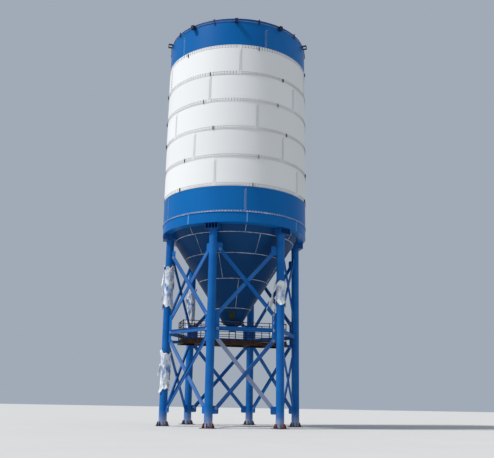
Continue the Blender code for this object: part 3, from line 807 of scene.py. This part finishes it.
def hatch():
    """A framed hatch on the lowest cone course: rim, recessed door, hinges and clamps."""
    reach, width, height = HATCH
    slope = math.atan((HOPPER_TOP_RADIUS - HOPPER_FOOT_RADIUS) / (HOPPER_TOP - HOPPER_FOOT))
    middle = HOPPER_FOOT + height * 0.55
    place = turn(HATCH_ANGLE) @ move(hopper_radius(middle), 0, middle)
    place = place @ Matrix.Rotation(slope, 4, "Y")
    half = height / 2
    side = width / 2
    inner_side = side - HATCH_BAR
    inner_half = half - HATCH_BAR
    bars = (
        ((-side, -half), (-inner_side, half)), ((inner_side, -half), (side, half)),
        ((-inner_side, -half), (inner_side, -inner_half)),
        ((-inner_side, inner_half), (inner_side, half)),
    )
    rim = Shape()
    for low, high in bars:
        rim.box((-0.01, *low), (reach, *high), place)
    piece = rim.piece("hatch_frame", HOPPER_SHADED_PAINT, bevel=0.003)
    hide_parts("hopper_hatch")
    door = Shape()
    door.box((0.0, -inner_side, -inner_half), (0.022, inner_side, inner_half), place)
    for level in (-0.18, 0.18):
        hinge = [place @ Vector((0.03, side - 0.02, level + end)) for end in (-0.04, 0.04)]
        door.rod(*hinge, 0.014)
        clamp = (0.04, -side + 0.16, level + 0.02)
        door.box((0.022, -side + 0.05, level - 0.02), clamp, place)
    door.piece("hatch_door", HATCH_PAINT, "dark_steel", bevel=0.002)


def legs():
    for index in range(LEGS):
        place = at_leg(index)
        foot = BASE_PLATE[2]
        pipe = Shape()
        pipe.turned(band(LEG_RADIUS - LEG_WALL, LEG_RADIUS, foot, LEG_TOP), LEG_SIDES, place)
        leg = pipe.piece(f"leg_pipe_{index + 1}", FRAME_PAINT)
        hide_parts(f"leg_{index + 1}")

        welds = Shape()
        for level in (LEG_TOP - 0.012, LEG_WELD_LEVELS[index % 2]):
            section = (
                (LEG_RADIUS - 0.002, level - 0.008), (LEG_RADIUS + 0.006, level),
                (LEG_RADIUS - 0.002, level + 0.008),
            )
            welds.turned(section, LEG_SIDES, place)
        if index in DECK_LEGS:
            side = CLEAT[1] / 2
            cleat_foot = (BEAM_TOP + BEAM_FOOT - CLEAT[2]) / 2
            low = (DECK_END + SEAT - LEG_CIRCLE, -side, cleat_foot)
            high = (-LEG_RADIUS + 0.02, side, cleat_foot + CLEAT[2])
            welds.box(low, high, place)
        welds.piece(f"leg_welds_{index + 1}", FRAME_PAINT)

        base = Shape()
        depth, width, thick = BASE_PLATE
        base.box((-depth / 2, -width / 2, 0), (depth / 2, width / 2, thick), place)
        base.piece(f"base_plate_{index + 1}", BASE_STEEL, bevel=0.004)
        ribs = Shape()
        length, rib_thick, height = BASE_RIB
        start = LEG_RADIUS - LEG_WALL / 2
        end = LEG_RADIUS + length
        outline = (
            (start, foot), (end, foot), (end, foot + BASE_RIB_TIP),
            (LEG_RADIUS + BASE_RIB_TIP, foot + height), (start, foot + height),
        )
        for spin in places_round(BASE_RIBS):
            ribs.plate(outline, rib_thick, place @ spin)
        steel = RUST if index in RUSTED_FEET else BASE_STEEL
        ribs.piece(f"base_ribs_{index + 1}", steel)
        anchors = Shape()
        for spin in places_round(BASE_RIBS, 180.0 / BASE_RIBS):
            point = place @ spin @ Vector((LEG_RADIUS + 0.075, 0, foot))
            anchors.bolt(point, UP, 1.5)
            anchors.rod(point, point + Vector((0, 0, 0.07)), 0.011, 10)
        bolt_piece(anchors, f"anchor_bolts_{index + 1}", BOLT_STEEL)


def channel(shape, place, start, end, depth, outward, tone):
    """A channel between two points (x, z) of a bay, on one face of the gussets."""
    half = depth / 2
    near = GUSSET / 2
    web = near + BRACE_STEEL
    far = near + BRACE_FLANGE
    inner = half - BRACE_STEEL
    round_in = 0.010
    section = (
        (-half, near), (half, near), (half, far - 0.004), (half - 0.003, far), (inner, far),
        (inner, web + round_in), (inner - round_in, web), (-inner + round_in, web),
        (-inner, web + round_in), (-inner, far), (-half + 0.003, far), (-half, far - 0.004),
    )
    run = Vector((end[0] - start[0], 0, end[1] - start[1]))
    along = run.normalized()
    across = Vector((-along.z, 0, along.x))
    origin = Vector((start[0], 0, start[1]))
    points = []
    for offset in (Vector(), run):
        for side, away in section:
            depthwise = Vector((0, -away if outward else away, 0))
            points.append(place @ (origin + offset + across * side + depthwise))
    shape.add(points, tube_faces(len(section)), tone)


def brace_bolts(shape, place, x, level, along, outward):
    """Four bolts through a brace's end, seen on the channel's back."""
    away = Vector((0, -1 if outward else 1, 0))
    across = Vector((-along.z, 0, along.x))
    for a in (0.0, 0.085):
        for b in (-0.045, 0.045):
            point = Vector((x, 0, level)) + along * a + across * b
            surface = point + away * (GUSSET / 2 + BRACE_STEEL)
            shape.bolt(place @ surface, place.to_3x3() @ away, 0.8)


def bracing():
    """Each bay's gussets, crossed channels in two tiers, strut, packing and bolts."""
    reach = BAY_CLEAR / 2 - BRACE_END_INSET
    strut_reach = BAY_CLEAR / 2 - STRUT_END_INSET
    for index in range(LEGS):
        place = in_bay(index)
        fades = FADES.get(index, USUAL_FADES)
        plates = Shape()
        bolts = Shape()
        for width, foot, top in (UPPER_GUSSET, MIDDLE_GUSSET, LOWER_GUSSET):
            for side in (-1, 1):
                outer = side * (BAY_CLEAR / 2 - SEAT)
                inner = outer - side * width
                outline = (
                    (outer, foot), (inner + side * GUSSET_SNIP, foot), (inner, foot + GUSSET_SNIP),
                    (inner, top - GUSSET_SNIP), (inner + side * GUSSET_SNIP, top), (outer, top),
                )
                plates.plate(outline, GUSSET, place)
        channels = Shape()
        tiers = ((*LOWER_BRACE, False, fades[0:2]), (*UPPER_BRACE, True, fades[2:4]))
        for high, low, falling_outward, tier_fades in tiers:
            falling = ((-reach, high), (reach, low))
            rising = ((-reach, low), (reach, high))
            for ends, outward, fade in (
                (falling, falling_outward, tier_fades[0]),
                (rising, not falling_outward, tier_fades[1]),
            ):
                channel(channels, place, *ends, BRACE_DEPTH, outward, fade)
                run = Vector((ends[1][0] - ends[0][0], 0, ends[1][1] - ends[0][1]))
                along = run.normalized()
                for x, level, way in ((*ends[0], along), (*ends[1], -along)):
                    inset = way * END_BOLT_INSET
                    brace_bolts(bolts, place, x + inset.x, level + inset.z, way, outward)
            middle = (high + low) / 2
            half = PACKING / 2
            corner = (half, GUSSET / 2 - SEAT, middle + half)
            plates.box((-half, -GUSSET / 2 + SEAT, middle - half), corner, place)
        strut = ((-strut_reach, STRUT_LEVEL), (strut_reach, STRUT_LEVEL))
        channel(channels, place, *strut, STRUT_DEPTH, True, fades[4])
        for side in (-1, 1):
            way = Vector((-side, 0, 0))
            x = side * (strut_reach - END_BOLT_INSET)
            brace_bolts(bolts, place, x, STRUT_LEVEL, way, True)
        piece = channels.piece(f"brace_channels_{index + 1}", FRAME_PAINT)
        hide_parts(f"bracing_bay_{index + 1}")
        plates.piece(f"brace_gussets_{index + 1}", FRAME_PAINT, bevel=0.002)
        bolt_piece(bolts, f"brace_bolts_{index + 1}")


def roof_rim():
    """Rim flange, and the box sockets and upright plates on its edge."""
    foot = RIM + SEAT
    flange_top = RIM + RIM_PLATE + 0.001
    flange = Shape()
    flange.turned(band(RIM_BORE, RIM_EDGE, foot, foot + RIM_PLATE))
    # Painted highlight: the rim ring takes the pale rim paint.
    ring = flange.piece("rim_ring", RIM_HIGHLIGHT_PAINT, "lug_steel")
    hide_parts("rim_flange")

    sockets = Shape()
    uprights = Shape()
    near = RIM_EDGE + SEAT
    for number, place in enumerate(places_round(RIM_LUGS, RIM_LUG_START)):
        if number % 2:
            depth, width, height = UPRIGHT
            low = RIM - UPRIGHT_DROP
            far = (RIM_EDGE + depth, width / 2, low + height)
            uprights.box((near, -width / 2, low), far, place)
            fin = ((RIM_EDGE - 0.10, flange_top), (RIM_EDGE, flange_top), (RIM_EDGE, RIM + 0.18))
            uprights.plate(fin, 0.010, place)
            continue
        depth, width, height = SOCKET
        wall = SOCKET_WALL
        low = RIM - SOCKET_DROP
        high = low + height
        far = RIM_EDGE + depth
        walls = (
            (near, far, low, low + wall), (near, far, high - wall, high),
            (near, near + wall, low + wall, high - wall),
            (far - wall, far, low + wall, high - wall),
        )
        for x0, x1, z0, z1 in walls:
            sockets.box((x0, -width / 2, z0), (x1, width / 2, z1), place)
    sockets.piece("rim_sockets", LUG_STEEL, "lug_steel", bevel=0.003)
    uprights.piece("rim_uprights", LUG_STEEL, "lug_steel", bevel=0.002)


def roof():
    """Kerb, cone of lapped sheets under cover strips, and the blanked fittings."""
    kerb = Shape()
    lip = KERB_RADIUS + 0.012
    inner = KERB_RADIUS - SHEET
    profile = (
        (inner, KERB_FOOT), (KERB_RADIUS, KERB_FOOT), (KERB_RADIUS, KERB_TOP - 0.01),
        (lip, KERB_TOP - 0.01), (lip, KERB_TOP), (inner, KERB_TOP),
    )
    kerb.turned(profile)
    # Painted shade: the kerb takes the darkened kerb paint.
    piece = kerb.piece("kerb_sheet", KERB_SHADED_PAINT)
    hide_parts("roof_kerb")

    outer = inner - SEAT
    slope = (ROOF_TOP - DECK_FOOT) / (outer - ROOF_HUB)
    sweep = 360.0 / ROOF_SEGMENTS
    profile = (
        (ROOF_HUB, ROOF_TOP - SHEET), (outer, DECK_FOOT - SHEET), (outer, DECK_FOOT),
        (ROOF_HUB, ROOF_TOP),
    )
    deck = Shape()
    for number in range(ROOF_SEGMENTS):
        start = number * sweep + 0.004
        tone = random.uniform(-0.15, 0.15)
        deck.turned(profile, 12, start=start, sweep=sweep - 0.008, tone=tone)
    piece = deck.piece("roof_sheets", BLUE_PAINT)
    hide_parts("roof_deck")

    strips = Shape()
    bolts = Shape()
    inset, width, thick = ROOF_STRIP
    tilt = math.atan(slope)
    run = (outer - ROOF_HUB - 0.15) / math.cos(tilt)
    last = ROOF_STRIP_BOLTS - 1
    for place in places_round(ROOF_SEGMENTS):
        place = place @ move(ROOF_HUB + inset, 0, ROOF_TOP - slope * inset)
        place = place @ Matrix.Rotation(tilt, 4, "Y")
        strips.box((0, -width / 2, -0.003), (run, width / 2, thick), place)
        for step in range(ROOF_STRIP_BOLTS):
            point = place @ Vector((0.1 + step * (run - 0.2) / last, 0, thick))
            bolts.bolt(point, place.to_3x3() @ UP, 0.8)
    strips.piece("roof_cover_strips", BLUE_PAINT, bevel=0.002)
    bolt_piece(bolts, "roof_bolts")
    for fitting in FITTINGS:
        roof_fitting(slope, outer, *fitting)
    manhole_lid()
    flange_top = RIM + SEAT + RIM_PLATE
    bolt_circle("rim_bolts", RIM_BOLTS, RIM_EDGE - 0.035, flange_top, UP, 0.8)


def roof_fitting(slope, deck_outer, name, angle, distance, radius, bolt_count):
    """A flanged pipe on the cone: blanked and bolted, or open where it has no bolts."""
    place = turn(angle) @ move(distance, 0, 0)
    box_foot, box_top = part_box(name)
    top = box_top.z
    level = DECK_FOOT + slope * (deck_outer - max(distance, ROOF_HUB))
    start = min(level, ROOF_TOP) - (slope * radius if distance else 0.0)
    start = max(start, box_foot.z)
    wall = radius - 0.008
    edge = radius + PIPE_FLANGE
    if bolt_count:
        blank = edge - 0.002
        profile = (
            (wall, start), (radius, start), (radius, top - 0.028), (edge, top - 0.028),
            (edge, top - 0.014), (blank, top - 0.012), (blank, top), (0.02, top),
            (0.02, top - 0.012), (wall, top - 0.012),
        )
    else:
        profile = (
            (wall, start), (radius, start), (radius, top - 0.016), (edge, top - 0.016), (edge, top),
            (wall, top),
        )
    shape = Shape()
    shape.turned(profile, 64, place)
    if distance:
        bead_level = DECK_FOOT + slope * (deck_outer - distance)
        tilted = place @ move(0, 0, bead_level) @ Matrix.Rotation(math.atan(slope), 4, "Y")
        shape.turned(((radius, -0.002), (radius + 0.03, -0.002), (radius, 0.02)), 48, tilted)
    piece = shape.piece(f"{name}_pipe", BLUE_PAINT)
    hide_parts(name)
    if bolt_count:
        bolt_circle(f"{name}_bolts", bolt_count, radius + 0.02, top, UP, 0.75, place)


def manhole_lid():
    """A crowned lid with a bent grip and two hinge barrels."""
    low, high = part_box("manhole_lid")
    place = turn(MANHOLE_ANGLE) @ move(MANHOLE_DISTANCE, 0, 0)
    profile = (
        (0.01, low.z), (LID_RADIUS, low.z), (LID_RADIUS + 0.008, low.z + 0.004),
        (LID_RADIUS + 0.006, high.z), (LID_RADIUS * 0.5, high.z + 0.020), (0.01, high.z + 0.026),
    )
    lid = Shape()
    lid.turned(profile, 64, place)
    cover = lid.piece("manhole_cover", BLUE_PAINT)
    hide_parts("manhole_lid")
    grip = Shape()
    bends = ((-0.09, 0.012), (-0.09, 0.075), (0.09, 0.075), (0.09, 0.012))
    ends = [place @ Vector((0.12, y, high.z + z)) for y, z in bends]
    for a, b in zip(ends, ends[1:]):
        grip.rod(a, b, 0.009)
    for middle in (-0.1, 0.1):
        a = place @ Vector((-0.375, middle - 0.04, high.z + 0.006))
        b = place @ Vector((-0.375, middle + 0.04, high.z + 0.006))
        grip.rod(a, b, 0.016)
    grip.piece("manhole_fittings", ZINC, "zinc_bolts")


def outlet():
    """Outlet flange, throat, valve with its actuator, and the spout."""
    low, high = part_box("outlet_flange")
    shape = Shape()
    middle = (low.z + high.z) / 2
    for foot, top in ((low.z, middle - 0.001), (middle + 0.001, high.z)):
        shape.turned(band(OUTLET_BORE, OUTLET_RIM, foot, top), 96)
    piece = shape.piece("outlet_flanges", HOPPER_SHADED_PAINT, bevel=0.002)
    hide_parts("outlet_flange")
    bolt_circle("outlet_bolts", 24, OUTLET_BOLT_CIRCLE, low.z, -UP, 0.9)

    low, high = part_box("outlet_throat")
    shape = Shape()
    profile = (
        (THROAT_FOOT - THROAT_PLATE, low.z), (THROAT_FOOT, low.z), (THROAT_TOP, high.z),
        (THROAT_TOP - THROAT_PLATE, high.z),
    )
    shape.turned(profile, 96)
    fin = (
        (0.29, low.z + 0.01), (0.63, high.z - 0.005), (0.63, high.z - 0.06), (0.33, low.z + 0.005),
    )
    for place in places_round(THROAT_FINS):
        shape.plate(fin, 0.010, place)
    piece = shape.piece("throat_cone", HOPPER_SHADED_PAINT)
    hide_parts("outlet_throat")

    low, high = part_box("discharge_valve")
    shape = Shape()
    profile = (
        (VALVE_BORE, low.z), (VALVE_RIM, low.z), (VALVE_RIM, low.z + 0.02),
        (VALVE_BODY, low.z + 0.025), (VALVE_BODY, high.z - 0.025), (VALVE_RIM, high.z - 0.02),
        (VALVE_RIM, high.z), (VALVE_BORE, high.z),
    )
    shape.turned(profile, 96)
    middle = (low.z + high.z) / 2
    boss, pivot = VALVE_BOSSES
    shape.rod((-0.29, 0, middle), (-0.24, 0, middle), boss, 24)
    shape.rod((0.245, 0, middle), (0.29, 0, middle), pivot, 24)
    piece = shape.piece("valve_body", SHADED_DARK_STEEL, "dark_steel")
    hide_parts("discharge_valve")
    bolt_circle("valve_bolts", 12, VALVE_BOLT_CIRCLE, low.z, -UP, 0.7, start=15.0)

    low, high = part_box("valve_actuator")
    shape = Shape()
    start, end = low.x + 0.05, high.x - 0.04
    shape.box((start, low.y + 0.01, low.z + 0.01), (end, high.y - 0.01, high.z - 0.01))
    shape.rod((low.x + 0.005, 0, middle), (start - 0.001, 0, middle), boss, 24)
    shape.rod((end + 0.001, 0, middle), (high.x, 0, middle), pivot, 24)
    piece = shape.piece("actuator_case", SHADED_DARK_STEEL, "dark_steel", bevel=0.012)
    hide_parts("valve_actuator")

    low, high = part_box("discharge_spout")
    collar = high.z - 0.02
    profile = (
        (VALVE_BORE, low.z), (VALVE_BORE + SPOUT_WALL, low.z), (SPOUT_COLLAR - 0.005, collar),
        (SPOUT_COLLAR, collar), (SPOUT_COLLAR, high.z), (VALVE_BORE, high.z),
    )
    shape = Shape()
    shape.turned(profile, 64)
    piece = shape.piece("spout_collar", SHADED_DARK_STEEL, "dark_steel")
    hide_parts("discharge_spout")


def platform():
    """Round tube railing with a toe board, over the CAD deck and beams."""
    long = DECK_END - POST
    wide = DECK_HALF_WIDTH - POST
    right = ((long, -wide), (long, wide), (0, wide))
    corners = [Vector(corner) for corner in right]
    corners += [-corner for corner in corners]
    for index, start in enumerate(corners):
        rail_panel(index + 1, start, corners[(index + 1) % len(corners)])


def rail_panel(number, start, end):
    """Posts on foot plates, rails that end short of the next panel's post, a toe board."""
    foot = DECK_TOP + SEAT
    run = end - start
    heading = math.degrees(math.atan2(run.y, run.x))
    place = turn(DECK_ANGLE) @ move(start.x, start.y, 0) @ turn(heading)
    side = run.length
    shape = Shape()
    for post in range(POSTS_A_SIDE):
        x = post * side / POSTS_A_SIDE
        a = place @ Vector((x, 0, foot))
        shape.rod(a, a + Vector((0, 0, RAIL_HEIGHT)), 0.024 if post else 0.028, 16)
        shape.box((x - 0.045, -0.045, foot), (x + 0.045, 0.045, foot + 0.010), place)
    for rail in range(RAILS):
        level = foot + RAIL_HEIGHT - 0.036 - rail * RAIL_HEIGHT / RAILS
        a = place @ Vector((0, 0, level))
        b = place @ Vector((side - 0.029, 0, level))
        shape.rod(a, b, 0.017 if rail else 0.021, 12)
    shape.box((0.03, -0.003, foot + 0.012), (side - 0.047, 0.003, foot + 0.10), place)
    # Painted shade: the railing takes the near-black steel.
    piece = shape.piece(f"railing_{number}", SHADED_DARK_STEEL, "dark_steel")
    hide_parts(f"platform_railing_{number}")


def crumple(u, v, seed):
    """Creases as ridges of folded noise, from 0 to about 1."""
    point = Vector((u * 2.2 + seed, v * 1.3, seed * 0.37))
    ridge = 1.0 - abs(noise.noise(point)) * 2.2
    fine = 1.0 - abs(noise.noise(point * 3.1)) * 2.0
    return max(0.0, 0.65 * ridge + 0.35 * fine)


def film_wrap(name, index, low, high, seed, gap, facing):
    """A torn sleeve of film round a leg, ragged at both ends and along its tear."""
    place = at_leg(index)
    columns, rows = 56, max(10, round((high - low) / FILM_STEP))
    shape = Shape()
    points = []
    for row in range(rows + 1):
        v = row / rows
        for column in range(columns + 1):
            u = column / columns
            ragged = 0.45 * noise.noise(Vector((u * 7 + seed, seed, 0.0)))
            level = low + (high - low) * v
            level += ragged * (1.0 if v > 0.5 else -1.0) * abs(2 * v - 1) ** 2
            tear = gap * (0.6 + 0.8 * abs(noise.noise(Vector((v * 4, seed, 2.0)))))
            angle = facing + tear / 2 + (360.0 - tear) * u
            edge = 1.0 - min(1.0, 9.0 * min(u, 1.0 - u))
            flare = max(abs(2 * v - 1) ** 6, edge)
            creases = crumple(u * 4, level * 1.6, seed)
            out = LEG_RADIUS + 0.004 + 0.024 * creases + 0.085 * flare * (0.3 + creases)
            points.append(place @ turn(angle) @ Vector((out, 0, level)))
    shape.add(points, grid_faces(columns, rows))
    for row in range(rows):
        tone = 1.0 - abs(2 * row / rows - 1) ** 2.5
        shape.tones[row * columns:(row + 1) * columns] = [tone] * columns
    film_piece(name, shape)


def film_piece(name, shape):
    """A thin sheet of film, thickened by a solidify modifier."""
    piece = shape.piece(name, FILM, "protective_film", smooth=60.0)
    thick = piece.modifiers.new("thickness", "SOLIDIFY")
    thick.thickness = FILM_THICKNESS
    thick.offset = 1.0


def film_flap(name, index, angle, top, bottom, width, drift, seed):
    """A torn strip that hangs off a leg's film, twisting as it falls."""
    place = at_leg(index) @ turn(angle)
    columns, rows = 12, max(12, round((top - bottom) / FILM_STEP))
    shape = Shape()
    points = []
    for row in range(rows + 1):
        v = row / rows
        level = top + (bottom - top) * v
        narrow = width * (1.0 - 0.55 * v + 0.35 * noise.noise(Vector((v * 5, seed, 0))))
        swing = 0.75 * math.sin(3.0 * v + seed) * v
        for column in range(columns + 1):
            u = column / columns - 0.5
            fold = 0.055 * (crumple(u * 3 + v, level, seed) - 0.4)
            local = Vector((fold, u * narrow, 0))
            local = Matrix.Rotation(swing, 3, "Z") @ local
            x = LEG_RADIUS + 0.065 + drift[0] * v ** 1.3
            y = drift[1] * v ** 1.2
            points.append(place @ (Vector((x, y, level)) + local))
    shape.add(points, grid_faces(columns, rows))
    film_piece(name, shape)


def films():
    """What is left of the film that the legs came in."""
    for sleeve in FILM_SLEEVES:
        film_wrap(*sleeve)
    for strip in FILM_STRIPS:
        film_flap(*strip)


def dress_cad():
    """Materials for the CAD nodes that stay: brackets, deck and beams."""
    for index in range(LEGS):
        repaint(f"leg_head_{index + 1}", HEAD_PAINT)
    # Painted shade: the deck and beams take the near-black steel.
    repaint("platform_deck", SHADED_DARK_STEEL)
    repaint("platform_beams", SHADED_DARK_STEEL)


def repaint(name, material):
    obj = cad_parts[name]
    obj.data.materials.clear()
    obj.data.materials.append(material)


for course in range(WHITE_COURSES + 2):
    shell_course(course)
for course in range(WHITE_COURSES + 2):
    foot = course_levels(course)[0]
    rows = [foot + offset for offset in BOLT_ROWS]
    if course == 0:
        seam_bolts("seam_bolts_foot", 0, rows[:1], ZINC, 1.25)
    elif course <= WHITE_COURSES:
        seam_bolts(f"seam_bolts_{course}", course, rows, BOLT_STEEL)
top_rows = [TOP_SEAM + LAP - offset for offset in BOLT_ROWS]
seam_bolts("seam_bolts_top", WHITE_COURSES, top_rows, BOLT_STEEL)
for course in range(WHITE_COURSES + 2):
    blue = course in (0, WHITE_COURSES + 1)
    joint_bolts(course, ZINC if blue else BOLT_STEEL)
seam_tags()
ring_beam()
hopper()
hopper_beads()
hatch()
legs()
bracing()
roof_rim()
roof()
outlet()
platform()
films()
dress_cad()


def add_camera():
    forward = Vector((math.sin(YAW), math.cos(YAW), math.tan(PITCH))).normalized()
    level = Vector((math.cos(YAW), -math.sin(YAW), 0))
    over = level.cross(forward)
    right = level * math.cos(ROLL) + over * math.sin(ROLL)
    up = over * math.cos(ROLL) - level * math.sin(ROLL)
    axes = Matrix((right, up, -forward)).transposed().to_4x4()
    spin = turn(CAMERA_TURN)
    data = bpy.data.cameras.new("camera")
    data.lens = LENS
    data.sensor_width = SENSOR
    data.sensor_fit = "HORIZONTAL"
    data.clip_end = 500.0
    camera = new_object("camera", data)
    camera.matrix_world = spin @ move(0, -CAMERA_DISTANCE, CAMERA_HEIGHT) @ axes
    bpy.context.scene.camera = camera


def add_light():
    data = bpy.data.lights.new("key", "SUN")
    data.energy = KEY_POWER
    data.angle = math.radians(KEY_SOFTNESS)
    key = new_object("key", data)
    toward = turn(KEY_AZIMUTH) @ Vector((math.cos(math.radians(KEY_HEIGHT)), 0, 0))
    toward.z = math.sin(math.radians(KEY_HEIGHT))
    key.rotation_euler = toward.to_track_quat("Z", "Y").to_euler()
    world = bpy.data.worlds.new("studio")
    world.use_nodes = True
    sky = world.node_tree.nodes["Background"]
    sky.inputs["Color"].default_value = (*SKY, 1.0)
    sky.inputs["Strength"].default_value = SKY_POWER
    bpy.context.scene.world = world


def add_floor():
    mesh = bpy.data.meshes.new("floor")
    half = FLOOR_SIZE / 2
    corners = [(-half, -half, 0), (half, -half, 0), (half, half, 0), (-half, half, 0)]
    mesh.from_pydata(corners, [], [(0, 1, 2, 3)])
    nodes = Nodes("floor")
    shade = nodes.ramp(nodes.noise(0.3, 3.0), 0.3, 0.7)
    colour = nodes.mix(shade, (0.60, 0.585, 0.56), (0.62, 0.605, 0.58))
    mesh.materials.append(nodes.finish(colour, 0.9))
    floor = new_object("floor", mesh)


add_camera()
add_light()
add_floor()
bpy.context.scene.view_settings.view_transform = "Standard"
